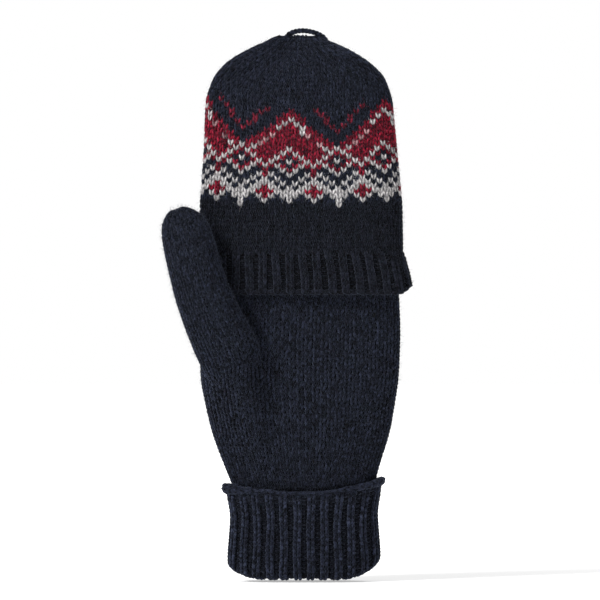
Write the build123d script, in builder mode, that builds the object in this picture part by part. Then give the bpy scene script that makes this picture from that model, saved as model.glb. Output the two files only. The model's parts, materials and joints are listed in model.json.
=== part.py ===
"""Left-hand knitted glove with a flip-top mitten cap, standing fingers up as it does on a hand.

Frame: +Z from the wrist to the fingertips, -Y out of the palm, -X towards the thumb.
The origin is the centre of the wrist opening, level with the cuff's lower edge.
All sizes are millimetres. Each knitted sleeve is a tube lofted through oval rings.
"""

import os

from build123d import *

# driving dimensions
KNIT = 2.3                # thickness of the plain knitted fabric
RIB = 2.5                 # thickness of the ribbed fabric
GAP = 0.4                 # free space between two layers of fabric
CUFF_TOP = 38.0           # where the ribbed inner layer ends and the hand begins
TURNUP_TOP = 43.6         # where the rolled free edge of the turned-up cuff begins
KNUCKLE = 157.0           # height of the finger roots
HINGE_Y = 11.8            # the cap folds about this line, just outside the back of the hand
HINGE_Z = KNUCKLE + 0.7
CAP_MID_Y = -1.0          # plane where the cap's palm and back panels meet
HEM_BOTTOM = 137.0
HEM_TOP = 156.3
CAP_TIP = 258.9
THUMB_ROOT = (-34.7, 108.0)   # X and Z of the line that the thumb swings about
THUMB_TILT = 18.5             # degrees outward from straight up
THUMB_POCKET_R = 16.6         # round pocket in the palm that the thumb sleeve turns in
THUMB_POCKET_Y = -2.6         # the pocket reaches this deep into the palm
BUTTON_Z = 54.0
BUTTON_R = 7.5

# ring stations: height, left edge, right edge, half depth
HAND_RINGS = [
    (CUFF_TOP, -32.0, 32.0, 9.5),
    (46.0, -34.4, 34.0, 9.9),
    (BUTTON_Z, -38.0, 35.9, 10.2),
    (70.0, -44.2, 41.3, 10.8),
    (96.0, -50.0, 45.6, 11.0),
    (120.0, -49.6, 46.4, 11.0),
    (138.0, -47.6, 45.6, 10.6),
    (KNUCKLE, -45.5, 43.5, 10.0),
]
CAP_RINGS = [
    (HEM_TOP, -49.3, 47.0, 12.3),
    (180.0, -49.4, 46.6, 12.3),
    (205.0, -47.5, 44.2, 12.0),
    (230.0, -46.6, 41.8, 10.8),
    (241.0, -42.6, 38.0, 9.3),
    (248.5, -36.0, 30.0, 7.4),
    (254.0, -26.0, 21.0, 5.4),
    (CAP_TIP, -15.7, 9.5, 3.2),
]
HEM_RINGS = [
    (HEM_BOTTOM, -50.8, 51.5, 13.8),
    (145.0, -50.4, 50.6, 13.5),
    (HEM_TOP, -49.8, 47.8, 13.0),
]

os.makedirs("parts", exist_ok=True)


def finish(builder, name):
    """Names a finished piece and writes it."""
    builder.part.label = name
    export_step(builder.part, f"parts/{name}.step")


def oval(plane, half_width, half_depth, middle=(0, 0)):
    """One oval ring, as a face."""
    with BuildSketch(plane) as sketch:
        with Locations(middle):
            Ellipse(half_width, half_depth)
    return sketch.sketch.faces()[0]


def rings(stations, middle=0.0, trim=0.0):
    """The level rings of a sleeve, thinner by trim all round."""
    return [
        oval(
            Plane.XY.offset(height),
            (right - left) / 2 - trim,
            half_depth - trim,
            ((left + right) / 2, middle),
        )
        for height, left, right, half_depth in stations
    ]


# the four half fingers: centre X, half width, half depth, length
FINGERS = {
    "index": (-32.0, 9.4, 6.3, 30.0),
    "middle": (-11.3, 10.4, 7.3, 34.0),
    "ring": (10.2, 10.2, 7.1, 31.0),
    "little": (30.1, 8.8, 6.0, 25.0),
}
FINGER_MID_Y = -0.8
WEB = 2.4                 # fabric between the fingers
RIM = 5.0                 # height of each finger's rolled rim
RIM_PROUD = 0.3           # the rim stands this far outside the finger's sleeve
RIM_ROUND = 0.9
HAND_CAVITY_TOP = (KNUCKLE - WEB, *HAND_RINGS[-1][1:])
POCKET_REACH = 30.0       # the thumb's pocket is cut from there out through the palm

# hand body: palm and back in one tube, closed over the finger roots, open to the thumb
with BuildPart() as hand_body:
    loft(rings(HAND_RINGS), ruled=True)
    loft(rings([*HAND_RINGS[:-1], HAND_CAVITY_TOP], trim=KNIT), ruled=True, mode=Mode.SUBTRACT)
    for centre, half_width, half_depth, length in FINGERS.values():
        with BuildSketch(Plane.XY.offset(KNUCKLE - 2 * WEB)):
            with Locations((centre, FINGER_MID_Y)):
                Ellipse(half_width - KNIT, half_depth - KNIT)
        extrude(amount=4 * WEB, mode=Mode.SUBTRACT)
    with BuildSketch(Plane.XZ.offset(-THUMB_POCKET_Y)):
        with Locations(THUMB_ROOT):
            Circle(THUMB_POCKET_R)
    extrude(amount=POCKET_REACH, mode=Mode.SUBTRACT)
finish(hand_body, "hand_body")

# half fingers: open sleeves that stand on the finger roots, each with its own rolled rim
for finger, (centre, half_width, half_depth, length) in FINGERS.items():
    with BuildPart() as sleeve:
        with BuildSketch(Plane.XY.offset(KNUCKLE)):
            with Locations((centre, FINGER_MID_Y)):
                Ellipse(half_width, half_depth)
                Ellipse(half_width - KNIT, half_depth - KNIT, mode=Mode.SUBTRACT)
        extrude(amount=length - RIM)
    finish(sleeve, f"finger_{finger}")
    with BuildPart() as rim:
        with BuildSketch(Plane.XY.offset(KNUCKLE + length - RIM)):
            with Locations((centre, FINGER_MID_Y)):
                Ellipse(half_width + RIM_PROUD, half_depth + RIM_PROUD)
                Ellipse(half_width - KNIT, half_depth - KNIT, mode=Mode.SUBTRACT)
        extrude(amount=RIM)
        fillet(rim.faces().sort_by(Axis.Z)[-1].outer_wire().edges(), radius=RIM_ROUND)
    finish(rim, f"finger_{finger}_rim")

# thumb: a closed sleeve in front of the palm, its open lower end inside the palm's pocket
THUMB_AXIS = Plane(
    origin=(THUMB_ROOT[0], 0, THUMB_ROOT[1]),
    x_dir=Vector(1, 0, 0).rotate(Axis.Y, -THUMB_TILT),
    z_dir=Vector(0, 0, 1).rotate(Axis.Y, -THUMB_TILT),
)
# distance along the thumb, half width, half depth, bow away from the hand, how far in front
# of the hand's middle
THUMB_RINGS = [
    (-6.0, 14.2, 7.6, 0.0, 11.2),
    (6.0, 14.4, 8.0, 0.9, 13.6),
    (20.0, 13.4, 8.0, 2.8, 16.6),
    (32.0, 12.8, 7.9, 3.4, 17.9),
    (44.0, 12.3, 7.9, 2.6, 18.0),
    (58.0, 12.1, 7.6, 1.0, 16.4),
    (68.0, 10.6, 6.6, 0.2, 15.6),
    (73.5, 7.2, 4.4, 0.0, 15.2),
    (75.6, 3.0, 2.0, 0.0, 15.2),
]


def thumb_rings(stations, trim=0.0):
    """The rings of the thumb, square to the thumb's own axis."""
    return [
        oval(THUMB_AXIS.offset(along), half_width - trim, half_depth - trim, (-bow, -forward))
        for along, half_width, half_depth, bow, forward in stations
    ]


with BuildPart() as thumb_sleeve:
    loft(thumb_rings(THUMB_RINGS), ruled=True)
    loft(thumb_rings(THUMB_RINGS[:-2], KNIT), ruled=True, mode=Mode.SUBTRACT)
finish(thumb_sleeve, "thumb_sleeve")

# mitten cap: a closed tube split into the palm panel, which stretches, and the back panel
CAP_MIDDLE = Plane.XZ.offset(-CAP_MID_Y)
CAP_BACK_BOTTOM = KNUCKLE + 1.6   # the back panel starts just above the knuckle seam
with BuildPart() as cap:
    loft(rings(CAP_RINGS, CAP_MID_Y), ruled=True)
    loft(rings(CAP_RINGS[:-1], CAP_MID_Y, KNIT), ruled=True, mode=Mode.SUBTRACT)

with BuildPart() as cap_palm_panel:
    add(cap.part)
    split(bisect_by=CAP_MIDDLE, keep=Keep.TOP)
finish(cap_palm_panel, "cap_palm_panel")

with BuildPart() as cap_back_panel:
    add(cap.part)
    split(bisect_by=CAP_MIDDLE, keep=Keep.BOTTOM)
    split(bisect_by=Plane.XY.offset(CAP_BACK_BOTTOM), keep=Keep.TOP)
finish(cap_back_panel, "cap_back_panel")

# cap hem: the ribbed lower edge of the palm panel, a half ring in front of the palm
with BuildPart() as cap_hem:
    loft(rings(HEM_RINGS, CAP_MID_Y), ruled=True)
    loft(rings(HEM_RINGS, CAP_MID_Y, RIB), ruled=True, mode=Mode.SUBTRACT)
    split(bisect_by=CAP_MIDDLE, keep=Keep.TOP)
finish(cap_hem, "cap_hem")

# knuckle seam: the row of stitches that joins the cap to the hand, on the fold line
SEAM_R = 0.7
SEAM_HALF_WIDTH = 34.0
with BuildPart() as knuckle_seam:
    with BuildSketch(Plane.YZ.offset(-SEAM_HALF_WIDTH)):
        with Locations((HINGE_Y, HINGE_Z)):
            Circle(SEAM_R)
    extrude(amount=2 * SEAM_HALF_WIDTH)
finish(knuckle_seam, "knuckle_seam")

# button loop at the tip of the cap, standing on two small anchor stitches
LOOP_FEET = (-9.0, 7.6)
LOOP_BASE = CAP_TIP + 0.8
LOOP_RISE = 3.0
CORD_R = 1.0
ANCHOR_R = 1.5
with BuildPart() as loop_anchors:
    with BuildSketch(Plane.XY.offset(CAP_TIP)):
        with Locations(*[(foot, CAP_MID_Y) for foot in LOOP_FEET]):
            Circle(ANCHOR_R)
    extrude(amount=LOOP_BASE - CAP_TIP)
finish(loop_anchors, "loop_anchors")

with BuildPart() as cap_loop:
    with BuildLine(CAP_MIDDLE) as loop_line:
        ThreePointArc(
            (LOOP_FEET[0], LOOP_BASE),
            (sum(LOOP_FEET) / 2, LOOP_BASE + LOOP_RISE),
            (LOOP_FEET[1], LOOP_BASE),
        )
    with BuildSketch(Plane(origin=loop_line.line @ 0, z_dir=loop_line.line % 0)):
        Circle(CORD_R)
    sweep()
    split(bisect_by=Plane.XY.offset(LOOP_BASE), keep=Keep.TOP)
finish(cap_loop, "cap_loop")

# folded cuff: ribbed inner layer, turned-up outer layer and its rolled free edge
CUFF_WAIST = 30.0
CUFF_FOLD = 2.6           # height of the fold that joins the two layers
CORNER_R = 11.0           # rounded lower corners of the cuff
CORNER_REACH = 38.0       # half width of the outline with those corners
ROLL_PROUD = 0.4          # the rolled edge stands this far outside the cuff
ROLL_HEIGHT = 2.8
ROLL_ROUND = 1.3
CORNER_HEIGHT = 100.0     # the outline with the rounded corners is this high and this deep,
CORNER_DEPTH = 40.0       # more than the cuff is
# height, half width and half depth of the inner layer's outside
CUFF_SHAPE = [
    (CUFF_FOLD + GAP, 32.6, 9.5),
    (CUFF_WAIST, 31.4, 9.3),
    (CUFF_TOP, 32.0, 9.5),
]
TURNUP_SHAPE = [
    (0.0, 36.6, 12.5),
    (CUFF_FOLD + GAP, 36.6, 12.5),
    (CUFF_WAIST, 34.8, 12.3),
    (CUFF_TOP, 36.0, 12.8),
    (TURNUP_TOP, 37.8, 13.2),
]


def cuff_rings(shape, trim=0.0):
    """The rings of one cuff layer, thinner by trim all round."""
    return [
        oval(Plane.XY.offset(height), half_width - trim, half_depth - trim)
        for height, half_width, half_depth in shape
    ]


with BuildPart() as cuff_inner_layer:
    loft(cuff_rings(CUFF_SHAPE), ruled=True)
    loft(cuff_rings(CUFF_SHAPE, RIB), ruled=True, mode=Mode.SUBTRACT)
finish(cuff_inner_layer, "cuff_inner_layer")

BORE = [(-CUFF_FOLD, *CUFF_SHAPE[0][1:]), CUFF_SHAPE[0]]
with BuildPart() as cuff_turnup:
    loft(cuff_rings(TURNUP_SHAPE), ruled=True)
    loft(cuff_rings(TURNUP_SHAPE[1:], RIB), ruled=True, mode=Mode.SUBTRACT)
    loft(cuff_rings(BORE, RIB), ruled=True, mode=Mode.SUBTRACT)
    with BuildSketch(Plane.XZ.offset(-CORNER_DEPTH / 2)):
        with Locations((0, CORNER_HEIGHT / 2)):
            RectangleRounded(2 * CORNER_REACH, CORNER_HEIGHT, CORNER_R)
    extrude(amount=CORNER_DEPTH, mode=Mode.INTERSECT)
finish(cuff_turnup, "cuff_turnup")

with BuildPart() as cuff_rolled_edge:
    with BuildSketch(Plane.XY.offset(TURNUP_TOP)):
        Ellipse(TURNUP_SHAPE[-1][1] + ROLL_PROUD, TURNUP_SHAPE[-1][2] + ROLL_PROUD)
        Ellipse(TURNUP_SHAPE[-1][1] - RIB, TURNUP_SHAPE[-1][2] - RIB, mode=Mode.SUBTRACT)
    extrude(amount=ROLL_HEIGHT)
    fillet(cuff_rolled_edge.faces().sort_by(Axis.Z)[-1].outer_wire().edges(), radius=ROLL_ROUND)
finish(cuff_rolled_edge, "cuff_rolled_edge")

# button on the back of the wrist, sewn on with thread that stands it off the knit
HAND_BACK_AT_BUTTON = HAND_RINGS[2][3]
BUTTON_X = -1.0
SHANK_LENGTH = 1.5
SHANK_GAP = 0.4           # the knit rises this much towards the palm beside the shank
SHANK_R = 2.9
BUTTON_THICK = 3.0
BUTTON_ROUND = 0.9
BUTTON_DISH = 0.8         # depth of the dished face
BUTTON_RIM = 2.0          # width of the rim round the dished face
HOLE_PITCH = 3.2
HOLE_R = 1.0
THREAD_R = 0.6
BUTTON_BACK_Y = HAND_BACK_AT_BUTTON + SHANK_LENGTH


def behind(distance):
    """The sketch plane that far behind the hand's middle, looking out of the back."""
    return Plane(origin=(BUTTON_X, distance, BUTTON_Z), x_dir=(-1, 0, 0), z_dir=(0, 1, 0))


with BuildPart() as button:
    with BuildSketch(behind(BUTTON_BACK_Y)):
        Circle(BUTTON_R)
    extrude(amount=BUTTON_THICK)
    fillet(button.edges(), radius=BUTTON_ROUND)
    with BuildSketch(behind(BUTTON_BACK_Y + BUTTON_THICK - BUTTON_DISH)):
        Circle(BUTTON_R - BUTTON_RIM)
    extrude(amount=BUTTON_DISH, mode=Mode.SUBTRACT)
    with BuildSketch(behind(BUTTON_BACK_Y)):
        with GridLocations(HOLE_PITCH, HOLE_PITCH, 2, 2):
            Circle(HOLE_R)
    extrude(amount=BUTTON_THICK, mode=Mode.SUBTRACT)
finish(button, "button")

THREAD_TOP = BUTTON_BACK_Y + BUTTON_THICK - BUTTON_DISH
with BuildPart() as button_thread:
    with BuildSketch(behind(HAND_BACK_AT_BUTTON + SHANK_GAP)):
        Circle(SHANK_R)
    extrude(amount=SHANK_LENGTH - SHANK_GAP)
    with BuildSketch(behind(BUTTON_BACK_Y)):
        with GridLocations(HOLE_PITCH, HOLE_PITCH, 2, 2):
            Circle(THREAD_R)
    extrude(amount=BUTTON_THICK)
    with BuildSketch(behind(THREAD_TOP)):
        with GridLocations(HOLE_PITCH, 0, 2, 1):
            Rectangle(2 * THREAD_R, HOLE_PITCH)
    extrude(amount=2 * THREAD_R)
finish(button_thread, "button_thread")
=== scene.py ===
"""Knitted glove with a flip-top cap: every stitch is a pair of yarn legs laid on the CAD sleeves."""

import json
import math

import bmesh
import bpy
import numpy as np
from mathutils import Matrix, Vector


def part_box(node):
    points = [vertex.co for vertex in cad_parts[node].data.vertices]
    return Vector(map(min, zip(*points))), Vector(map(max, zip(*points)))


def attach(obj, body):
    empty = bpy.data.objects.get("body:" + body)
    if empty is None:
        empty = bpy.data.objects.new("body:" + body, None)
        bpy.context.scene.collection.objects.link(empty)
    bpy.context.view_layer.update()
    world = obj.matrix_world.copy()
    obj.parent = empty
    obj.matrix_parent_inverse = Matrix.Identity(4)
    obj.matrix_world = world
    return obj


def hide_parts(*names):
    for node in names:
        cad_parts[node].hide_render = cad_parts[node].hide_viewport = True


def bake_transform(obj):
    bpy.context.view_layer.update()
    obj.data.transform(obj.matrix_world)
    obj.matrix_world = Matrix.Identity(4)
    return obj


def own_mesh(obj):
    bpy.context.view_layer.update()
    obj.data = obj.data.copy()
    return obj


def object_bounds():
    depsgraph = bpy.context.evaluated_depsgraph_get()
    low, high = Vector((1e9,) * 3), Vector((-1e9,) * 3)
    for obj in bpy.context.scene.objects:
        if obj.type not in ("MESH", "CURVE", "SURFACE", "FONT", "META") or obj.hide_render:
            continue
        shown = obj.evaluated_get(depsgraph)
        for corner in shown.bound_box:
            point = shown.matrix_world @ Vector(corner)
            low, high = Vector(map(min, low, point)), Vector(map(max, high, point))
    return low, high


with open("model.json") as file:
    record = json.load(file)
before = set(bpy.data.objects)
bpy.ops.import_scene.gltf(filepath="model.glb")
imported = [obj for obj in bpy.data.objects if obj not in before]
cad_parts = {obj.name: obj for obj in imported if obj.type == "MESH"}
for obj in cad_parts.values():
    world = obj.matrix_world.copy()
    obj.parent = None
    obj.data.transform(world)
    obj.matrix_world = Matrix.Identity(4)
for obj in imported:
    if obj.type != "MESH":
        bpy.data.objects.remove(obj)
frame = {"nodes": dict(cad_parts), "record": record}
cad_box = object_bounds()

MM = 0.001
rng = np.random.default_rng(7)

# ---- yarn colours, linear RGB
NAVY = np.array((0.0080, 0.0097, 0.0170))
# a darker navy for the cap's lowest rows and its hem
DARK_NAVY = np.array((0.0045, 0.0052, 0.0084))
RED = np.array((0.1380, 0.0055, 0.0150))
DULL_RED = np.array((0.1050, 0.0080, 0.0170))
WHITE = np.array((0.4400, 0.4250, 0.4250))
PALE_PINK = np.array((0.3300, 0.1900, 0.2000))

# ---- gauge, in metres
CAP_COURSE = 2.02 * MM
HAND_COURSE = 1.93 * MM
RIB_COURSE = 1.95 * MM
CAP_WALES = 72
HAND_WALES = 54
THUMB_WALES = 22
FINGER_WALES = 16
CUFF_RIBS = 25
HEM_RIBS = 34
KNIT = 2.3 * MM
RIB = 2.5 * MM

BACK = np.array((0.0, 1.0, 0.0))
UP = np.array((0.0, 0.0, 1.0))


# ---- surfaces of the sleeves
def corner(node, side, axis):
    """One coordinate of a CAD node's box: side 0 is low and 1 is high."""
    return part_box(node)[side][axis]


def read_points(obj):
    points = np.empty(len(obj.data.vertices) * 3)
    obj.data.vertices.foreach_get("co", points)
    return points.reshape(-1, 3)


def cad_edges(names):
    """The two ends of every mesh edge of these CAD nodes."""
    pairs = []
    for name in names:
        obj = frame["nodes"][name]
        ends = np.empty(len(obj.data.edges) * 2, dtype=int)
        obj.data.edges.foreach_get("vertices", ends)
        pairs.append(read_points(obj)[ends.reshape(-1, 2)])
    return np.moveaxis(np.concatenate(pairs), 1, 0)


def paired(first, second):
    """Two rows of numbers, each of the first with each of the second."""
    return (values.ravel() for values in np.meshgrid(first, second))


def ease(share):
    """A smooth step from 0 to 1."""
    share = np.clip(share, 0, 1)
    return share * share * (3 - 2 * share)


def unit(vectors):
    return vectors / np.maximum(np.linalg.norm(vectors, axis=-1, keepdims=True), 1e-12)


def smooth(values, spread):
    """Rounds a row of numbers with a bell curve that is spread samples wide, its ends kept."""
    if spread <= 0:
        return values
    reach = int(3 * spread) + 1
    bell = np.exp(-0.5 * (np.arange(-reach, reach + 1) / spread) ** 2)
    bell /= bell.sum()
    before = 2 * values[0] - values[reach:0:-1]
    after = 2 * values[-1] - values[-2 : -reach - 2 : -1]
    return np.convolve(np.concatenate((before, values, after)), bell, "valid")


def slices(names, heights, spread):
    """Left, right, front and back of the CAD nodes at each height, smoothed."""
    a, b = cad_edges(names)
    rows = []
    for height in heights:
        crossing = (a[:, 2] - height) * (b[:, 2] - height) < 0
        p, q = a[crossing], b[crossing]
        share = (height - p[:, 2]) / (q[:, 2] - p[:, 2])
        cut = p + (q - p) * share[:, None]
        rows.append((cut[:, 0].min(), cut[:, 0].max(), cut[:, 1].min(), cut[:, 1].max()))
    return [smooth(column, spread) for column in np.array(rows).T]


class Sleeve:
    """A knitted tube as a grid of points: one row for each step along it, one column round it."""

    AROUND = 512

    def __init__(self, centre, half_width, half_depth, along, across=(1.0, 0.0, 0.0), fullness=2.25):
        turn = np.linspace(0, 2 * math.pi, 4096) - math.pi / 2
        shape_x = np.sign(np.cos(turn)) * np.abs(np.cos(turn)) ** (2 / fullness)
        shape_y = np.sign(np.sin(turn)) * np.abs(np.sin(turn)) ** (2 / fullness)
        across = np.broadcast_to(across, centre.shape)
        self.along = along
        self.rows = len(along)
        self.points = np.zeros((self.rows, self.AROUND, 3))
        self.girth = np.zeros(self.rows)
        wanted = np.arange(self.AROUND) / self.AROUND
        for i in range(self.rows):
            x = shape_x * half_width[i]
            y = shape_y * half_depth[i]
            walked = np.concatenate(([0], np.cumsum(np.hypot(np.diff(x), np.diff(y)))))
            self.girth[i] = walked[-1]
            x = np.interp(wanted * walked[-1], walked, x)
            y = np.interp(wanted * walked[-1], walked, y)
            self.points[i] = centre[i] + x[:, None] * across[i] + y[:, None] * BACK
        self.face_outward()

    def face_outward(self):
        """Works the normals out from the points."""
        around = np.roll(self.points, -1, 1) - np.roll(self.points, 1, 1)
        up = np.gradient(self.points, axis=0)
        self.normals = unit(np.cross(around, up))

    def _mix(self, table, part, height):
        row = np.interp(height, self.along, np.arange(self.rows))
        low = np.clip(row.astype(int), 0, self.rows - 2)
        rise = (row - low)[..., None]
        column = (part % 1.0) * self.AROUND
        left = column.astype(int) % self.AROUND
        right = (left + 1) % self.AROUND
        run = (column - np.floor(column))[..., None]
        lower = table[low, left] * (1 - run) + table[low, right] * run
        upper = table[low + 1, left] * (1 - run) + table[low + 1, right] * run
        return lower * (1 - rise) + upper * rise

    def at(self, part, height, lift):
        """Points that stand lift above the sleeve, and their normals. part is the share of a turn."""
        part, height, lift = np.broadcast_arrays(part, height, lift)
        normal = unit(self._mix(self.normals, part, height))
        return self._mix(self.points, part, height) + normal * lift[..., None], normal

    def girth_at(self, height):
        return np.interp(height, self.along, self.girth)


def upright_sleeve(names, spread=3.0, middle=None, swell=0.0, closed=0.0, below=0.0, above=0.0):
    """A sleeve that follows standing CAD nodes, straight on by below and above past their ends.

    middle is the Y that a half ring is mirrored about, swell widens the whole sleeve, and closed is
    the height over which its depth rounds off to nothing at the top.
    """
    first = (max if below else min)(corner(name, 0, 2) for name in names)
    last = max(corner(name, 1, 2) for name in names)
    low, high = first - below, last + above
    along = np.linspace(low, high, max(int((high - low) / MM), 4))
    inside = np.clip(along, first + 0.1 * MM, last - 0.1 * MM)
    left, right, front, back = slices(names, inside, spread)
    if middle is not None:
        back = 2 * middle - front
    centre = np.stack(((left + right) / 2, (front + back) / 2, along), 1)
    half_width = (right - left) / 2 + swell
    half_depth = (back - front) / 2 + swell
    if closed:
        share = np.clip((along - high + closed) / closed, 0, 1)
        half_depth = half_depth * np.sqrt(1.0001 - share ** 2)
        half_width = half_width - 4.5 * MM * share ** 3
    return Sleeve(centre, half_width, half_depth, along)


# ---- meshes from arrays
class Cloth:
    """Collects points, faces and colours, and makes one mesh object of them."""

    def __init__(self):
        self.points, self.faces, self.colours, self.uvs = [], [], [], []
        self.count = 0

    def add(self, points, colours, uvs, *faces):
        self.faces += [corners + self.count for corners in faces]
        self.points.append(points.reshape(-1, 3))
        self.colours.append(colours)
        self.uvs.append(uvs.reshape(-1, 2))
        self.count += len(self.points[-1])

    def build(self, name):
        points = np.concatenate(self.points)
        colours = np.concatenate(self.colours)
        uvs = np.concatenate(self.uvs)
        corners = np.concatenate([faces.ravel() for faces in self.faces])
        sides = np.concatenate([np.full(len(faces), faces.shape[1]) for faces in self.faces])
        starts = np.cumsum(sides) - sides
        mesh = bpy.data.meshes.new(name)
        mesh.vertices.add(len(points))
        mesh.vertices.foreach_set("co", points.ravel())
        mesh.loops.add(len(corners))
        mesh.loops.foreach_set("vertex_index", corners)
        mesh.polygons.add(len(starts))
        mesh.polygons.foreach_set("loop_start", starts)
        mesh.polygons.foreach_set("use_smooth", np.ones(len(starts), dtype=bool))
        yarn = mesh.attributes.new("yarn", "FLOAT_COLOR", "POINT")
        yarn.data.foreach_set("color", np.c_[colours, np.ones(len(colours))].ravel())
        layer = mesh.uv_layers.new(name="UVMap")
        layer.data.foreach_set("uv", uvs[corners].ravel())
        mesh.update(calc_edges=True)
        mesh.validate()
        mesh.materials.append(WOOL)
        return place(name, mesh)


def place(name, data):
    """Adds an object that holds this mesh, camera or light."""
    obj = bpy.data.objects.new(name, data)
    bpy.context.collection.objects.link(obj)
    return obj


def present(obj, body, slot, *nodes):
    """Attaches a finished piece to its body and hides the CAD nodes that it replaces."""
    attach(obj, body)
    if nodes:
        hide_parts(*nodes)
    return obj


def write_points(obj, points):
    obj.data.vertices.foreach_set("co", points.ravel())
    obj.data.update()


def yarn_faces(strands, steps, sides):
    """Quads round each strand and a face over each of its ends."""
    first = (np.arange(strands) * steps * sides)[:, None]
    side = np.arange(sides)
    turn = (side + 1) % sides
    base = first[:, None] + (np.arange(steps - 1) * sides)[:, None]
    quads = np.stack((base + side, base + turn, base + sides + turn, base + sides + side), -1)
    return quads.reshape(-1, 4), np.concatenate((first + side[::-1], first + (steps - 1) * sides + side))


def add_yarn(cloth, path, normal, radius, colours, sides=6, flat=0.85, painted_shade=1.0):
    """Lays strands of yarn along path, which is strand x step x 3.

    normal and radius fit it or are the same all along, colours has one entry a strand or one for
    all, and painted_shade multiplies it at each step: painted shade and a painted highlight along the strand.
    """
    strands, steps = path.shape[:2]
    radius = np.broadcast_to(radius, (strands, steps))
    colours = np.broadcast_to(colours, (strands, 3))
    painted_shade = np.broadcast_to(painted_shade, steps)
    tangent = unit(np.gradient(path, axis=1))
    across = unit(np.cross(tangent, normal))
    above = np.cross(across, tangent)
    angle = np.arange(sides) / sides * 2 * math.pi
    out = np.cos(angle)[:, None] * across[:, :, None] + flat * np.sin(angle)[:, None] * above[:, :, None]
    points = path[:, :, None] + out * radius[..., None, None]
    uvs = np.zeros((strands, steps, sides, 2))
    uvs[..., 0] = np.linspace(0, 1, steps)[:, None] + rng.random((strands, 1, 1)) * 40
    uvs[..., 1] = np.abs(np.arange(sides) - sides / 2) / sides
    shade = np.repeat(colours[:, None] * painted_shade[:, None], sides, 1).reshape(-1, 3)
    cloth.add(points, shade, uvs, *yarn_faces(strands, steps, sides))


# leg of a stitch, as shares of the wale's width and the course's height
LEG = np.linspace(0, 1, 5)
LEG_ACROSS = 0.07 + 0.34 * LEG ** 0.9
LEG_UP = -0.72 + 1.42 * LEG
LEG_RISE = np.sin(math.pi * LEG) ** 0.8
LEG_THICK = np.array((0.50, 0.92, 1.0, 0.98, 0.66))
# painted shade at each leg's ends, where it dips under its neighbours, and a painted highlight over its
# middle
LEG_PAINTED_SHADE = np.array((0.40, 0.85, 1.15, 1.20, 0.75))


def add_legs(cloth, sleeve, part, up, radius, above, across, sway, girth, colours, patchy, painted_light=1.0):
    """Two slanted legs for each stitch, whose steps stand across from the middle of their wale."""
    for hand in (-1, 1):
        path, normal = sleeve.at(part[:, None] + (hand * across + sway) / girth[:, None], up, above)
        shade = np.clip(colours * (1 + patchy * rng.standard_normal((len(part), 1))), 0.002, 0.9)
        add_yarn(cloth, path, normal, radius[:, None] * LEG_THICK, shade * painted_light, painted_shade=LEG_PAINTED_SHADE)


def add_stitches(cloth, sleeve, part, height, width, course, colours):
    """Plain knit. part, height and width have one entry a stitch, and colours too or one for all."""
    count = len(part)
    colours = np.broadcast_to(colours, (count, 3))
    pale = colours[:, 1] > 0.2
    radius = 0.172 * width * (1 + 0.06 * rng.standard_normal(count)) * np.where(pale, 0.82, 1.0)
    patchy = np.where(pale, 0.10, 0.26)[:, None]
    sway = 0.05 * width * rng.standard_normal(count)
    rise = 0.08 * course * rng.standard_normal(count)
    add_legs(
        cloth, sleeve, part, height[:, None] + LEG_UP * course + rise[:, None], radius,
        -radius[:, None] * (1.75 - 0.8 * LEG_RISE), LEG_ACROSS * width[:, None], sway[:, None],
        sleeve.girth_at(height), colours, patchy,
    )


def add_purls(cloth, sleeve, part, height, width, course, colours, lift):
    """One sideways bump for each purl stitch, seen at the bottom of a rib's gutter."""
    radius = 0.30 * width[:, None]
    arc = np.linspace(-0.5, 0.5, 5)
    hump = np.cos(arc * math.pi)
    across = arc * width[:, None] * 1.05 / sleeve.girth_at(height)[:, None]
    up = height[:, None] + 0.18 * course * hump
    path, normal = sleeve.at(part[:, None] + across, up, lift[:, None] - radius * (1.9 - 0.7 * hump))
    add_yarn(cloth, path, normal, radius, colours, sides=5)


def add_lining(cloth, sleeve, first, last, low, high, depth, colour_of, thick, columns, rows, relief=None):
    """The closed layer of fabric under the stitches, from one share of a turn to another."""
    part, height = np.meshgrid(np.linspace(first, last, columns), np.linspace(low, high, rows))
    lift = relief(part, height) if relief else 0.0
    layers = np.stack([sleeve.at(part, height, lift - down)[0] for down in (depth, thick)])
    size = rows * columns
    index = np.arange(size).reshape(rows, columns)
    a, b, c, d = index[:-1, :-1], index[:-1, 1:], index[1:, 1:], index[1:, :-1]
    front = np.stack((a, b, c, d), -1).reshape(-1, 4)
    sides = [front, front[:, ::-1] + size]
    for line, flip in ((index[0], 0), (index[-1], 1), (index[:, 0], 1), (index[:, -1], 0)):
        p, q = (line[1:], line[:-1]) if not flip else (line[:-1], line[1:])
        sides.append(np.stack((p, q, q + size, p + size), -1))
    colours = colour_of(part, height).reshape(-1, 3)
    painted_gap_shade = np.where(colours.mean(-1, keepdims=True) > 0.2, 0.66, 0.36)  # painted shade between the stitches: the lining is darkened, less under pale yarn, which light shines through
    # the lining's inner face is darkened as well, painted shade inside
    colours = np.concatenate((painted_gap_shade * colours, 0.7 * colours))
    cloth.add(layers, colours, np.zeros((2 * size, 2)), np.concatenate(sides))


def drop_loose_points(obj):
    """Deletes the points that no face uses."""
    mesh = bmesh.new()
    mesh.from_mesh(obj.data)
    bmesh.ops.delete(mesh, geom=[point for point in mesh.verts if not point.link_faces], context="VERTS")
    mesh.to_mesh(obj.data)
    mesh.free()


def plain(colour):
    """A colour function for lining that is the same all over."""
    return lambda part, height: np.broadcast_to(colour, part.shape + (3,))


# painted shade: linings and inner layers are coloured darker than the yarn
SHADED_LINING_NAVY = plain(NAVY * 0.8)

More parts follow.
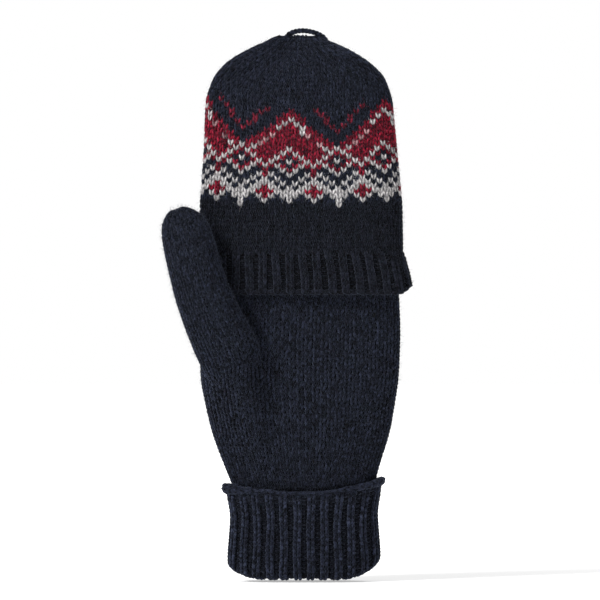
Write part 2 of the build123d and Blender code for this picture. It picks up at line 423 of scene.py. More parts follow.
# ---- the cap's pattern
BAND_TOP = 219.5 * MM        # centre height of the row that holds the white peaks
NARROW = 16                  # stitches from one tall peak to the next
THUMB_BOW = 11.0 * MM        # how much the courses rise towards the cap's side over the thumb
FAR_BOW = 7.2 * MM           # and towards its other side
PATTERN_SHIFT = 1.9          # the tall peak stands this many stitches towards the thumb
PATTERN_LEAN = 0.06          # and this much less for each row above the eyes

# for each number of stitches from a tall peak, the row of the peaks' outline
OUTLINE = (0, 1, 2, 4, 5, 6, 7, 8, 7)
# and the rows of the thin zigzag above it
ZIGZAG = {4: (-2,), 5: (-1,), 6: (0, 1), 7: (2,), 8: (3,)}


def pattern(wale, row):
    """Colour of one stitch: wale 0 is a tall peak, row 0 holds its point and rows count down."""
    offset = (wale + 8) % NARROW - 8
    tall = abs(offset)
    eye = abs((wale + 4) % 8 - 4)
    ring = abs(row - 10) + eye
    below = row - OUTLINE[tall]
    if below < 0:
        if below >= -2 and tall < 8:
            return RED
        return DULL_RED if row in ZIGZAG.get(tall, ()) else NAVY
    if offset == 4 and below == 0:
        return RED
    if below == 0 or (offset, row) == (2, 3):
        return PALE_PINK if 3 <= tall <= 5 else WHITE
    if row < 12:
        if ring == 3 or (eye, row) in ((4, 11), (0, 10)):
            return WHITE
        return NAVY if ring <= 1 else RED
    if row == 12:
        return (RED, WHITE, NAVY, NAVY, RED)[eye]
    if (eye, row) in ((4, 13), (4, 16), (3, 17), (4, 17), (4, 18)):
        return RED
    small = row == 16 - eye and eye <= 3
    lower = row in (18 - eye, 19 - eye) or (eye, row) in ((0, 13), (3, 13), (0, 17), (3, 18), (4, 19))
    if small or lower or (tall, row) == (8, 20):
        return WHITE
    return DARK_NAVY if row > 19 else NAVY


def pattern_shift(row):
    """How many stitches towards the thumb the pattern stands in this row."""
    return PATTERN_SHIFT - PATTERN_LEAN * np.clip(8 - row, 0, 10)


def cap_colour(wales, rows):
    return np.array([pattern(int(w), int(r)) for w, r in zip(wales, rows)])


def cap_rise(away, middle, height):
    """How far a course climbs at this share of a turn away from its panel's middle wale."""
    sideways = np.minimum(np.abs(away) / 0.25, 1.0)
    band = np.clip((height - (BAND_TOP - 50 * MM)) / (50 * MM), 0, 1)
    over_thumb = away > 0 if middle else away < 0
    return np.where(over_thumb, THUMB_BOW, FAR_BOW) * band * sideways ** 1.8


# ---- materials
class Shading:
    """Adds nodes to a material. An input is a number, a colour or another node's output."""

    def __init__(self, tree):
        self.tree = tree

    def fill(self, node, inputs):
        for name, value in inputs.items():
            if isinstance(value, bpy.types.NodeSocket):
                self.tree.links.new(value, node.inputs[name])
            else:
                node.inputs[name].default_value = value

    def add(self, kind, output, inputs=None, **settings):
        """Makes one node and returns one of its outputs."""
        node = self.tree.nodes.new("ShaderNode" + kind)
        for name, value in settings.items():
            setattr(node, name, value)
        self.fill(node, inputs or {})
        return node.outputs[output]

    def noise(self, vector, scale, detail=3.0):
        inputs = {"Vector": vector, "Scale": scale, "Detail": detail, "Roughness": 0.55}
        return self.add("TexNoise", "Fac", inputs)

    def ramp(self, value, *stops):
        node = self.tree.nodes.new("ShaderNodeValToRGB")
        elements = node.color_ramp.elements
        while len(elements) < len(stops):
            elements.new(0.5)
        for element, (position, colour) in zip(elements, stops):
            element.position = position
            element.color = (*colour, 1.0)
        self.fill(node, {"Fac": value})
        return node.outputs["Color"]

    def blend(self, mode, amount, first, second):
        inputs = {"Factor": amount, "A": first, "B": second}
        return self.add("Mix", "Result", inputs, data_type="RGBA", blend_type=mode)


def node_material(name, build, **sockets):
    material = bpy.data.materials.new(name)
    material.use_nodes = True
    shading = Shading(material.node_tree)
    shader = material.node_tree.nodes["Principled BSDF"]
    shading.fill(shader, {socket.replace("_", " "): value for socket, value in sockets.items()})
    shading.fill(shader, build(shading))
    return material


def wool(shading):
    """Heathered brushed wool: the yarn's own colour, flecked fibres and a fibrous bump."""
    spot = shading.add("TexCoord", "Object")
    yarn = shading.add("Attribute", "Color", attribute_name="yarn")
    light = shading.ramp(shading.noise(spot, 720.0), (0.38, (0.22,) * 3), (0.64, (2.05,) * 3))
    depth = shading.ramp(yarn, (0.03, (1.0,) * 3), (0.30, (0.35,) * 3))  # pale yarn is less heathered
    heather = shading.blend("MULTIPLY", depth, yarn, light)
    flecked = shading.ramp(shading.noise(spot, 1500.0, 2.0), (0.60, (0, 0, 0)), (0.70, (1, 1, 1)))
    flecks = shading.ramp(
        shading.noise(spot, 260.0, 1.0),
        (0.36, (0.024, 0.052, 0.056)), (0.50, (0.034, 0.044, 0.086)), (0.62, (0.054, 0.040, 0.074)),
    )
    share = shading.add("Math", 0, {0: flecked, 1: 0.32}, operation="MULTIPLY")
    stretch = shading.add("Mapping", "Vector", {
        "Vector": shading.add("UVMap", "UV"), "Scale": (2.5, 26.0, 1.0), "Rotation": (0, 0, 0.12),
    })
    fibres = {0: shading.noise(stretch, 1.0), 1: shading.noise(spot, 2600.0)}
    bump = {"Strength": 0.8, "Distance": 0.25 * MM, "Height": shading.add("Math", 0, fibres, operation="ADD")}
    return {
        "Base Color": shading.blend("MIX", share, heather, flecks),
        "Normal": shading.add("Bump", "Normal", bump),
    }


def horn(shading):
    """Dark horn-look resin with soft cloudy streaks."""
    spot = shading.add("TexCoord", "Object")
    stretch = {"Vector": spot, "Scale": (1.0, 1.0, 3.5), "Rotation": (0.0, 0.5, 0.0)}
    cloud = shading.noise(shading.add("Mapping", "Vector", stretch), 160.0, 4.0)
    shades = shading.ramp(
        cloud, (0.35, (0.012, 0.010, 0.012)), (0.55, (0.040, 0.028, 0.024)), (0.70, (0.110, 0.075, 0.055)),
    )
    rough = shading.ramp(shading.noise(spot, 900.0, 4.0), (0.3, (0.28,) * 3), (0.7, (0.48,) * 3))
    return {"Base Color": shades, "Roughness": rough}


WOOL = node_material(
    "brushed_wool", wool, Roughness=0.92, Sheen_Weight=0.21, Sheen_Roughness=0.30,
    Sheen_Tint=(0.50, 0.60, 0.85, 1.0), Specular_IOR_Level=0.12,
)
HORN = node_material("horn_resin", horn, Coat_Weight=0.25, Coat_Roughness=0.2)


# ---- loose fibres on the surface
def add_fuzz(cloth, sleeve, first, last, low, high, count, colour_of):
    """Short curved fibres that lie out of the surface: thin closed three-sided needles."""
    count = int(count * FUZZ)
    part = rng.uniform(first, last, count)
    height = rng.uniform(low, high, count)
    colours = colour_of(part, height).reshape(-1, 3)
    root, normal = sleeve.at(part, height, -0.45 * MM)
    wander = unit(rng.standard_normal((count, 3)))
    along = unit(wander - (wander * normal).sum(1, keepdims=True) * normal)
    lean = rng.uniform(0.15, 0.95, (count, 1))
    heading = unit(along + lean * normal)
    reach = rng.uniform(1.2, 4.2, (count, 1)) * MM
    curl = unit(rng.standard_normal((count, 3)))
    middle = root + heading * reach * 0.55
    tip = middle + unit(heading + 0.9 * curl) * reach * 0.45
    radius = rng.uniform(0.014, 0.028, (count, 1)) * MM
    side = unit(np.cross(heading, normal))
    other = np.cross(heading, side)
    rings = []
    for centre, thick in ((root, 1.0), (middle, 0.8)):
        for angle in (0.0, 2.094, 4.189):
            rings.append(centre + radius * thick * (math.cos(angle) * side + math.sin(angle) * other))
    start = (np.arange(count) * 7)[:, None, None]
    quads = np.array(((0, 1, 4, 3), (1, 2, 5, 4), (2, 0, 3, 5)))
    tips = np.array(((3, 4, 6), (4, 5, 6), (5, 3, 6), (2, 1, 0)))
    # painted highlight: the fibres are coloured about twice as light as the yarn they grow from, as if
    # catching the light
    shade = np.repeat(np.clip(colours * 2.0 + 0.020, 0, 0.9), 7, 0)
    faces = (start + quads).reshape(-1, 4), (start + tips).reshape(-1, 3)
    cloth.add(np.stack((*rings, tip), 1), shade, np.zeros((count * 7, 2)), *faces)


FUZZ = 1.0


# ---- the mitten cap
HINGE = {joint["name"]: joint for joint in frame["record"]["behaviour"]["joints"]}
THUMB_ROOT = HINGE["thumb_swing"]["pos_m"]
CAP_MIDDLE_Y = corner("cap_palm_panel", 1, 1)

CAP_LOW = corner("cap_palm_panel", 0, 2)
CAP_HIGH = corner("cap_palm_panel", 1, 2)
CAP_BACK_LOW = corner("cap_back_panel", 0, 2)
CAP_CREST = 1.9 * MM         # the tip's stitches stand this far above the panels
cap_sleeve = upright_sleeve(
    ["cap_palm_panel", "cap_back_panel"], 2.0, swell=0.6 * MM, closed=8 * MM, below=6 * MM, above=CAP_CREST
)
CAP_STRAIGHT = BAND_TOP - 15 * MM       # above this the wales keep their width and drop off at the sides


PANEL_WALES = np.arange(-16, 20)        # one panel's wales, counted from its middle
BACK_MIDDLE = CAP_WALES // 2            # wale in the middle of the back panel; the palm's is 0


def cap_wale_girth(height):
    """Girth that sets the width of a wale: constant above the band, where the cap narrows."""
    return cap_sleeve.girth_at(np.minimum(height, CAP_STRAIGHT))


def cap_cells(middle, low):
    """Wale, row, share of a turn, height and width of every stitch of the panel about this wale."""
    rows = np.arange(int((BAND_TOP - CAP_HIGH) / CAP_COURSE) - 1, int((BAND_TOP - low) / CAP_COURSE) + 1)
    wale, row = paired(middle + PANEL_WALES, rows)
    height = BAND_TOP - row * CAP_COURSE
    width = cap_wale_girth(height) / CAP_WALES
    steps = wale - middle - pattern_shift(row)
    height = height + cap_rise(steps / CAP_WALES, middle, height)
    part = steps * width / cap_sleeve.girth_at(height)
    kept = (np.abs(part) < 0.252) & (height < CAP_HIGH + CAP_CREST - 0.4 * CAP_COURSE)
    return wale[kept], row[kept], (middle / CAP_WALES + part)[kept], height[kept], width[kept]


def cap_lining_colour(middle):
    """Colour of the cap's fabric at any place, from the stitch that covers it."""
    def colour(part, height):
        away = part - middle / CAP_WALES
        level = height - cap_rise(away, middle, height)
        girth = cap_sleeve.girth_at(height)
        row = np.round((BAND_TOP - level) / CAP_COURSE)
        wale = np.round(away * girth / (cap_wale_girth(level) / CAP_WALES) + pattern_shift(row)) + middle
        return cap_colour(wale.ravel(), row.ravel()).reshape(part.shape + (3,))
    return colour


def make_cap_panel(name, node, middle, low):
    cloth = Cloth()
    wale, row, part, height, width = cap_cells(middle, low)
    add_stitches(cloth, cap_sleeve, part, height, width, CAP_COURSE, cap_colour(wale, row))
    first, last = middle / CAP_WALES - 0.25, middle / CAP_WALES + 0.25
    colour = cap_lining_colour(middle)
    top = CAP_HIGH + CAP_CREST
    add_lining(cloth, cap_sleeve, first, last, low - 1.6 * MM, top, 1.0 * MM, colour, KNIT, 97, 96)
    add_fuzz(cloth, cap_sleeve, first, last, low, CAP_HIGH - 1 * MM, 7000, colour)
    obj = cloth.build(name)
    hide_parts(node)
    return obj


def flatten_when_flipped(obj):
    """A piece of the cap that rides with it, on a mesh of its own."""
    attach(obj, "cap")
    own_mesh(obj)


def fold_at_knuckles(obj):
    """Bakes a piece's placement into its points."""
    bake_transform(obj)


# ---- ribbed pieces
def rib_relief(part, ribs, high=0.55 * MM, low=-0.75 * MM):
    """Height of a 1x1 rib's surface: a raised wale in the middle of each rib, a gutter between."""
    wave = 0.5 + 0.5 * np.cos(2 * math.pi * part * ribs)
    return low + (high - low) * wave ** 0.8


# in a stretched rib the legs stand further apart and more upright
RIB_ACROSS = 0.13 + 0.19 * LEG


def add_ribbing(cloth, sleeve, first, last, ribs, heights, course, colour, relief, fat=0.185, phase=0.0):
    """Knit wales on the ribs' crests and purl bumps in the gutters, between two shares of a turn.

    phase turns the ribs round the sleeve by that share of a rib.
    """
    low = int(math.ceil(first * ribs - 0.001))
    high = int(math.floor(last * ribs + 0.001))
    for kind in ("knit", "purl"):
        wale = np.arange(low, high + 1) + (0.5 if kind == "purl" else 0.0)
        wale = wale[(wale / ribs >= first - 0.001) & (wale / ribs <= last + 0.001)]
        wale, height = paired(wale, heights)
        part = (wale + phase) / ribs
        girth = sleeve.girth_at(height)
        lift = relief(part, height)
        waver = np.sin(height / (5.3 * MM) + 2.4 * np.floor(wale + 0.6) + 20 * part)
        part = part + 0.22 * MM * waver / girth
        colours = colour * (1 + 0.07 * rng.standard_normal((len(part), 1)))
        if kind == "knit":
            width = girth / ribs * 0.68
            radius = fat * width * (1 + 0.05 * rng.standard_normal(len(part)))
            rise = 0.05 * course * rng.standard_normal(len(part))
            # painted light: the crests' legs are coloured lighter
            add_legs(
                cloth, sleeve, part, height[:, None] + LEG_UP * course + rise[:, None], radius,
                lift[:, None] - radius[:, None] * (1.6 - 0.8 * LEG_RISE), RIB_ACROSS * width[:, None], 0.0,
                girth, colours, 0.20, 1.1,
            )
        else:
            width = girth / ribs * 0.46
            # painted shade: the purls at the bottom of the gutters are coloured darker
            add_purls(cloth, sleeve, part, height, width, course, colours * 0.42, lift + 0.25 * MM)


def add_bind_off(cloth, path, normal, colour, thick):
    """A row of cast-off chain: slanted, overlapping grains of yarn along an edge."""
    tangent = unit(np.gradient(path, axis=0))[:, None]
    normal = normal[:, None]
    across = unit(np.cross(tangent, normal))
    grain = np.linspace(-0.75, 0.75, 5)[:, None]
    spacing = np.linalg.norm(np.diff(path, axis=0), axis=1).mean()
    for hand in (-1, 1):
        slant = 0.30 * grain * hand
        line = (
            path[:, None]
            + tangent * (grain * spacing)
            + across * (slant * spacing + hand * 0.42 * thick)
            + normal * (0.35 * thick * (np.cos(grain * 2) - 0.6))
        )
        radius = thick * np.array((0.45, 0.85, 1.0, 0.85, 0.45))
        shade = colour * (1 + 0.1 * rng.standard_normal((len(path), 1)))
        add_yarn(cloth, line, normal, radius, np.clip(shade, 0.002, 0.9))


HEM_LOW = corner("cap_hem", 0, 2)
HEM_HIGH = corner("cap_hem", 1, 2)
HEM_FOLD = 1.6 * MM            # the hem's upper edge rolls in against the cap over this height
hem_sleeve = upright_sleeve(["cap_hem"], 2.0, middle=CAP_MIDDLE_Y, swell=0.3 * MM, above=0.8 * MM)


def bend_hem(obj):
    """Rounds the two lower corners of the hem."""
    points = read_points(obj)
    edge = corner("cap_hem", 1, 0)
    sideways = np.clip((np.abs(points[:, 0]) - 0.86 * edge) / (0.14 * edge), 0, 1)
    up = np.clip((points[:, 2] - HEM_LOW) / (HEM_HIGH - HEM_LOW), 0, 1)
    points[:, 2] += 4.4 * MM * sideways ** 2 * (1 - up) ** 2
    write_points(obj, points)


def make_hem():
    """The cap's ribbed hem across the palm."""
    cloth = Cloth()
    heights = np.arange(HEM_LOW + 1.2 * MM, HEM_HIGH + 0.6 * MM, RIB_COURSE)

    def relief(part, height):
        rolled = np.clip((height - HEM_HIGH + HEM_FOLD) / HEM_FOLD, 0, 1.3)
        return rib_relief(part, HEM_RIBS, 0.35 * MM, -0.85 * MM) - 0.9 * MM * rolled ** 2

    # the ribbing is coloured lighter than DARK_NAVY, painted light on the crests, and its lining darker,
    # painted shade
    add_ribbing(cloth, hem_sleeve, -0.25, 0.25, HEM_RIBS, heights, RIB_COURSE, 1.2 * DARK_NAVY, relief)
    add_lining(
        cloth, hem_sleeve, -0.25, 0.25, HEM_LOW + 0.4 * MM, HEM_HIGH + 0.5 * MM, 1.25 * MM,
        plain(DARK_NAVY * 0.8), RIB, HEM_RIBS * 4 + 1, 16, relief,
    )
    # the cast-off chain stops short of the side folds
    part = np.arange(1 - HEM_RIBS / 2, HEM_RIBS / 2) / (2 * HEM_RIBS)
    path, normal = hem_sleeve.at(part, HEM_LOW + 0.7 * MM, -0.9 * MM)
    add_bind_off(cloth, path, normal, DARK_NAVY, 0.80 * MM)
    add_fuzz(cloth, hem_sleeve, -0.25, 0.25, HEM_LOW, HEM_HIGH, 3000, plain(DARK_NAVY))
    obj = cloth.build("cap_hem_rib")
    bend_hem(obj)
    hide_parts("cap_hem")
    flatten_when_flipped(obj)


# ---- the hand
FINGERS = ("index", "middle", "ring", "little")
HAND_LOW = corner("hand_body", 0, 2)
HAND_HIGH = corner("hand_body", 1, 2)
hand_sleeve = upright_sleeve(["hand_body"], 5.0, middle=0.0)
MOUND = 11.2 * MM              # how far the palm swells to meet the thumb
CUFF_HIGH = corner("cuff_rolled_edge", 1, 2)


def swell_thumb_root(sleeve):
    """Pushes the palm forward under the thumb, from the wrist up to the thumb's root."""
    x, y, z = np.moveaxis(sleeve.points, -1, 0)
    grown = ease((z - THUMB_ROOT[2] + 56 * MM) / (54 * MM))
    height = MOUND * grown * (1 - ease((z - THUMB_ROOT[2] + 6 * MM) / (13 * MM)))
    centre = THUMB_ROOT[0] + 9 * MM * (1 - grown)
    share = (x - centre) / (12 * MM + 9 * MM * grown)
    bell = np.clip(1 - share ** 2, 0, 1) ** 1.5
    palm_side = ease(-y / (3 * MM))
    sleeve.points[..., 1] -= height * bell * palm_side
    sleeve.face_outward()


swell_thumb_root(hand_sleeve)


def make_hand_side(name, middle, *nodes):
    """Half of the hand's tube: the palm round share 0 or the back round share 0.5."""
    cloth = Cloth()
    heights = np.arange(HAND_LOW + HAND_COURSE, HAND_HIGH, HAND_COURSE)
    half = HAND_WALES // 2
    wale, height = paired(np.arange(half) - (half - 1) / 2, heights)
    part = middle + wale / HAND_WALES
    width = hand_sleeve.girth_at(height) / HAND_WALES
    # painted shade: the hand's yarn darkens towards the cuff, where it goes down inside it
    painted_cuff_shade = 0.22 + 0.78 * ease((height - CUFF_HIGH + 5 * MM) / (8 * MM))
    add_stitches(cloth, hand_sleeve, part, height, width, HAND_COURSE, NAVY * painted_cuff_shade[:, None])
    area = hand_sleeve, middle - 0.25, middle + 0.25, HAND_LOW, HAND_HIGH
    add_lining(cloth, *area, 1.15 * MM, SHADED_LINING_NAVY, KNIT, 65, 60)
    add_fuzz(cloth, *area, 7000, plain(NAVY))
    present(cloth.build(name), "root", "navy_knit", *nodes)


def make_hand_top():
    """The webbing that closes the top of the hand between the finger roots."""
    cell = 0.8 * MM
    left, right, front, back = (side[0] for side in slices(["hand_body"], [HAND_HIGH - 1 * MM], 0))
    x, y = np.meshgrid(np.arange(left, right, cell), np.arange(front, back, cell))
    reach_x, reach_y = (right - left) / 2 - 1 * MM, (back - front) / 2 - 1 * MM
    kept = (np.abs((x - (left + right) / 2) / reach_x) ** 2.25 + np.abs(y / reach_y) ** 2.25) < 1
    for finger in FINGERS:
        low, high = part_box(f"finger_{finger}")
        inside_x = (x - (low[0] + high[0]) / 2) / ((high[0] - low[0]) / 2 - KNIT)
        inside_y = (y - (low[1] + high[1]) / 2) / ((high[1] - low[1]) / 2 - KNIT)
        kept &= inside_x ** 2 + inside_y ** 2 > 1
    grid = np.stack((x, y, HAND_HIGH + 0.3 * MM * np.sin(x / (0.55 * MM)) * np.sin(y / (0.5 * MM))), -1)
    under = grid - KNIT * UP
    size = kept.size
    index = np.arange(size).reshape(kept.shape)
    cells = kept[:-1, :-1] & kept[:-1, 1:] & kept[1:, 1:] & kept[1:, :-1]
    corners = np.stack((index[:-1, :-1], index[:-1, 1:], index[1:, 1:], index[1:, :-1]), -1)
    faces = [corners[cells], corners[cells][:, ::-1] + size]
    ringed = np.pad(cells, 1)
    neighbours = (ringed[:-2, 1:-1], ringed[1:-1, 2:], ringed[2:, 1:-1], ringed[1:-1, :-2])
    for side, neighbour in enumerate(neighbours):
        edge = corners[cells & ~neighbour]
        p, q = edge[:, side], edge[:, (side + 1) % 4]
        faces.append(np.stack((q, p, p + size, q + size), -1))
    cloth = Cloth()
    # painted shade: the web under the cap is coloured darker than the yarn
    colours = np.tile(NAVY * 0.8, (2 * size, 1))
    points = np.stack((grid, under))
    cloth.add(points, colours, points[..., :2] * 400, np.concatenate(faces))
    obj = cloth.build("hand_top_web")
    drop_loose_points(obj)
    present(obj, "root", "navy_knit")


# ---- the thumb
THUMB_TILT = math.radians(18.5)
# below its root the sleeve turns upright and runs out under the palm's stitches: distance along
# the thumb, half width, half depth, bow away from the hand, distance in front of its middle, in mm
THUMB_SHAPE = np.array((
    (-24.0, 8.0, 4.0, 0.0, 5.0),
    (-12.0, 12.6, 6.6, 0.0, 9.4),
    (-4.0, 14.8, 7.8, 0.0, 12.4),
    (4.0, 15.4, 8.3, 0.8, 14.4),
    (18.0, 14.2, 8.2, 2.8, 16.0),
    (32.0, 13.4, 8.2, 3.6, 17.3),
    (44.0, 12.8, 8.1, 3.2, 17.7),
    (56.0, 12.6, 7.8, 2.2, 16.7),
    (63.0, 11.8, 7.2, 1.9, 15.9),
    (68.5, 9.8, 6.0, 2.1, 15.4),
    (72.8, 6.3, 3.9, 2.4, 15.2),
    (74.6, 2.2, 1.4, 2.6, 15.2),
)) * MM


def thumb_sleeve_surface():
    along = np.linspace(THUMB_SHAPE[0, 0], THUMB_SHAPE[-1, 0], 113)
    half_width, half_depth, bow, forward = (
        smooth(np.interp(along, THUMB_SHAPE[:, 0], THUMB_SHAPE[:, k]), 2.5) for k in (1, 2, 3, 4)
    )
    tilt = THUMB_TILT * ease((along + 26 * MM) / (40 * MM))
    step = along[1] - along[0]
    side = np.cumsum(-np.sin(tilt)) * step
    rise = np.cumsum(np.cos(tilt)) * step
    reach = 60 * MM              # the sleeve is placed by this point along it
    held = np.argmin(np.abs(along - reach))
    side += THUMB_ROOT[0] - reach * math.sin(THUMB_TILT) - side[held]
    rise += THUMB_ROOT[2] + reach * math.cos(THUMB_TILT) - rise[held]
    centre = np.stack((side, -forward, rise), 1)
    across = np.stack((np.cos(tilt), np.zeros_like(tilt), np.sin(tilt)), 1)
    centre -= bow[:, None] * across
    return Sleeve(centre, half_width, half_depth, along, across, 2.15)


def make_thumb():
    """The thumb's sleeve, blended into the palm at its root."""
    sleeve = thumb_sleeve_surface()
    cloth = Cloth()
    low, high = sleeve.along[0] + 2 * MM, sleeve.along[-1] - 0.5 * MM
    heights = np.arange(low, high - 1.2 * MM, HAND_COURSE)
    wale, height = paired(np.arange(THUMB_WALES), heights)
    # near the tip every other wale goes on, twice as wide
    narrow = height >= 70 * MM
    girth = sleeve.girth_at(height)
    width = np.where(narrow, 2 * girth, np.minimum(girth, 1.02 * sleeve.girth_at(30 * MM))) / THUMB_WALES
    width = np.minimum(width, 3.8 * MM)
    kept = ~narrow | (wale % 2 == 0)
    part = wale[kept] / THUMB_WALES
    add_stitches(cloth, sleeve, part, height[kept], width[kept], HAND_COURSE, NAVY)
    add_lining(cloth, sleeve, 0.0, 1.0, low, high, 1.15 * MM, SHADED_LINING_NAVY, KNIT, 65, 70)
    add_fuzz(cloth, sleeve, 0.0, 1.0, 2 * MM, high, 5500, plain(NAVY))
    obj = cloth.build("thumb_knit")
    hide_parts("thumb_sleeve")
    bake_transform(obj)


# ---- the folded cuff
FOLD_R = 2.75 * MM             # outer radius of the fold where the cuff turns up
FOLD_FLOOR = 0.80 * MM         # lowest point of the fold, so that the ribs' crests stay above the floor


def cuff_surface():
    """The turned-up layer with the fold under it: the sleeve starts inside, at the inner layer."""
    along = np.linspace(FOLD_R, CUFF_HIGH - 0.1 * MM, 44)
    left, right, front, back = slices(["cuff_turnup", "cuff_rolled_edge"], np.maximum(along, 9 * MM), 3.0)
    turn = np.linspace(math.pi, 0, 14)[:-1]
    inset = np.concatenate((FOLD_R * (1 - np.cos(turn)), np.zeros_like(along)))
    level = np.concatenate((FOLD_FLOOR + (FOLD_R - FOLD_FLOOR) * (1 - np.sin(turn)), along))
    half_width, half_depth = (
        np.pad(width / 2, (len(turn), 0), "edge") - inset for width in (right - left, back - front)
    )
    run = np.concatenate((FOLD_R * (1 - turn), along))
    return Sleeve(level[:, None] * UP, half_width, half_depth, run)


cuff_sleeve = cuff_surface()


def bend_cuff(obj):
    """Rounds the cuff's lower corners and dips its free edge in the middle."""
    points = read_points(obj)
    sideways = points[:, 0] / corner("cuff_turnup", 1, 0)
    up = np.clip(points[:, 2] / CUFF_HIGH, 0, 1)
    reach = np.abs(sideways) * np.where(sideways < 0, 0.92, 1.0)
    corner_lift = 10 * MM * np.clip((reach - 0.4) / 0.6, 0, 1) ** 2.4
    top_lift = np.where(sideways < 0, 4.0 * MM, 7.0 * MM) * sideways ** 2 - 3.6 * MM
    points[:, 2] += corner_lift * (1 - up) ** 1.5 + top_lift * up ** 2
    write_points(obj, points)


def make_cuff():
    """The turned-up outer layer of the cuff, its rolled free edge and the inner layer."""
    def relief(part, height):
        plain_top = np.clip((CUFF_HIGH - 4.6 * MM - height) / (4 * MM), 0.12, 1)
        folded = 0.55 + 0.45 * ease(height / (6 * MM))
        return rib_relief(part + 0.5 / CUFF_RIBS, CUFF_RIBS) * plain_top * folded

    cloth = Cloth()
    start = cuff_sleeve.along[0]
    heights = np.arange(start + 1.0 * MM, CUFF_HIGH - 1.2 * MM, RIB_COURSE)
    # the ribbing is coloured lighter than NAVY, painted light on the crests, whose gutters get painted shade
    # in add_ribbing
    add_ribbing(
        cloth, cuff_sleeve, 0.0, 1.0 - 0.5 / CUFF_RIBS, CUFF_RIBS, heights, RIB_COURSE, NAVY * 1.3, relief,
        phase=0.5,
    )
    add_lining(
        cloth, cuff_sleeve, 0.0, 1.0, start + 0.2 * MM, CUFF_HIGH - 1.8 * MM, 1.05 * MM, SHADED_LINING_NAVY,
        RIB, CUFF_RIBS * 6 + 1, 46, relief,
    )
    add_fuzz(cloth, cuff_sleeve, 0.0, 1.0, 4 * MM, CUFF_HIGH - 2 * MM, 8000, plain(NAVY))
    turnup = present(cloth.build("cuff_turnup_rib"), "root", "navy_rib", "cuff_turnup")
    bend_cuff(turnup)

    cloth = Cloth()
    part = np.linspace(0, 1, 2 * CUFF_RIBS + 1)
    sideways = np.sin(2 * math.pi * part)
    # the free edge curls outward into a roll, thickest at the side folds and most of all at the thumb
    roll = 0.95 * MM * (1 + np.where(sideways < 0, 1.7, 0.7) * np.abs(sideways) ** 8)
    level = CUFF_HIGH - roll - 0.4 * MM
    core, outward = cuff_sleeve.at(part, level, -0.7 * MM)
    # painted shade: the roll's core, seen between the chain's grains, is coloured darker than the yarn
    add_yarn(cloth, core[None], outward, roll, NAVY * 0.8, sides=10, flat=1.0)

    def facing_up(lean):
        """Directions that lean up from outward by so many degrees."""
        return math.cos(math.radians(lean)) * outward + math.sin(math.radians(lean)) * UP

    # painted light: the chain's grains are coloured lighter than the yarn
    for lean in (60, 110, 155):
        facing = facing_up(lean)
        bumps = 1 + 0.22 * rng.standard_normal((len(part), 1))
        add_bind_off(cloth, core + 0.85 * roll[:, None] * bumps * facing, facing, NAVY * 1.35, 0.72 * MM)
    for side in (-1, 1):
        near = sideways * side > 0.8
        for lean in (20, -25, -70):
            facing = facing_up(lean)[near]
            add_bind_off(cloth, core[near] + 0.8 * roll[near, None] * facing, facing, NAVY * 1.35, 0.72 * MM)
    edge = present(cloth.build("cuff_bind_off"), "root", "navy_rib", "cuff_rolled_edge")
    bend_cuff(edge)

    inner = upright_sleeve(["cuff_inner_layer"], 3.0, middle=0.0)
    cloth = Cloth()
    add_lining(
        cloth, inner, 0.0, 1.0, inner.along[0], inner.along[-1], 0.2 * MM, SHADED_LINING_NAVY, RIB,
        CUFF_RIBS * 6 + 1, 24, lambda part, height: 0.3 * MM * np.cos(2 * math.pi * part * CUFF_RIBS),
    )
    lining = present(cloth.build("cuff_inner_rib"), "root", "navy_rib", "cuff_inner_layer")
    bend_cuff(lining)


# ---- half fingers
def make_fingers():
    for finger in FINGERS:
        tube, rim = f"finger_{finger}", f"finger_{finger}_rim"
        low, join, high = corner(tube, 0, 2), corner(rim, 0, 2), corner(rim, 1, 2)
        sleeve = upright_sleeve([tube, rim], 1.0)
        cloth = Cloth()
        heights = np.arange(low + 1.0 * MM, join, HAND_COURSE)
        wale, height = paired(np.arange(FINGER_WALES), heights)
        width = sleeve.girth_at(height) / FINGER_WALES
        add_stitches(cloth, sleeve, wale / FINGER_WALES, height, width, HAND_COURSE, NAVY)
        add_lining(cloth, sleeve, 0.0, 1.0, low, join + 0.3 * MM, 1.1 * MM, SHADED_LINING_NAVY, KNIT, 49, 16)
        add_fuzz(cloth, sleeve, 0.0, 1.0, low, high, 900, plain(NAVY))
        present(cloth.build(f"{tube}_knit"), "root", "navy_knit", tube)
        cloth = Cloth()
        ribs = FINGER_WALES // 2 + 2

        def relief(part, height, ribs=ribs):
            return rib_relief(part, ribs, 0.2 * MM, -0.6 * MM)

        heights = np.arange(join + 0.9 * MM, high - 1.0 * MM, HAND_COURSE)
        add_ribbing(cloth, sleeve, 0.0, 1.0 - 0.5 / ribs, ribs, heights, HAND_COURSE, NAVY, relief, 0.27)
        add_lining(
            cloth, sleeve, 0.0, 1.0, join, high - 0.5 * MM, 1.0 * MM, SHADED_LINING_NAVY, KNIT, ribs * 6 + 1, 6,
            relief,
        )
        part = np.arange(0, 1, 1 / FINGER_WALES / 1.5)
        path, normal = sleeve.at(part, high - 0.9 * MM, -0.8 * MM)
        ring = np.arange(-1, len(part) + 1) % len(part)
        add_bind_off(cloth, path[ring], normal[ring], NAVY, 0.62 * MM)
        present(cloth.build(f"{rim}_rib"), "root", "navy_rib", rim)


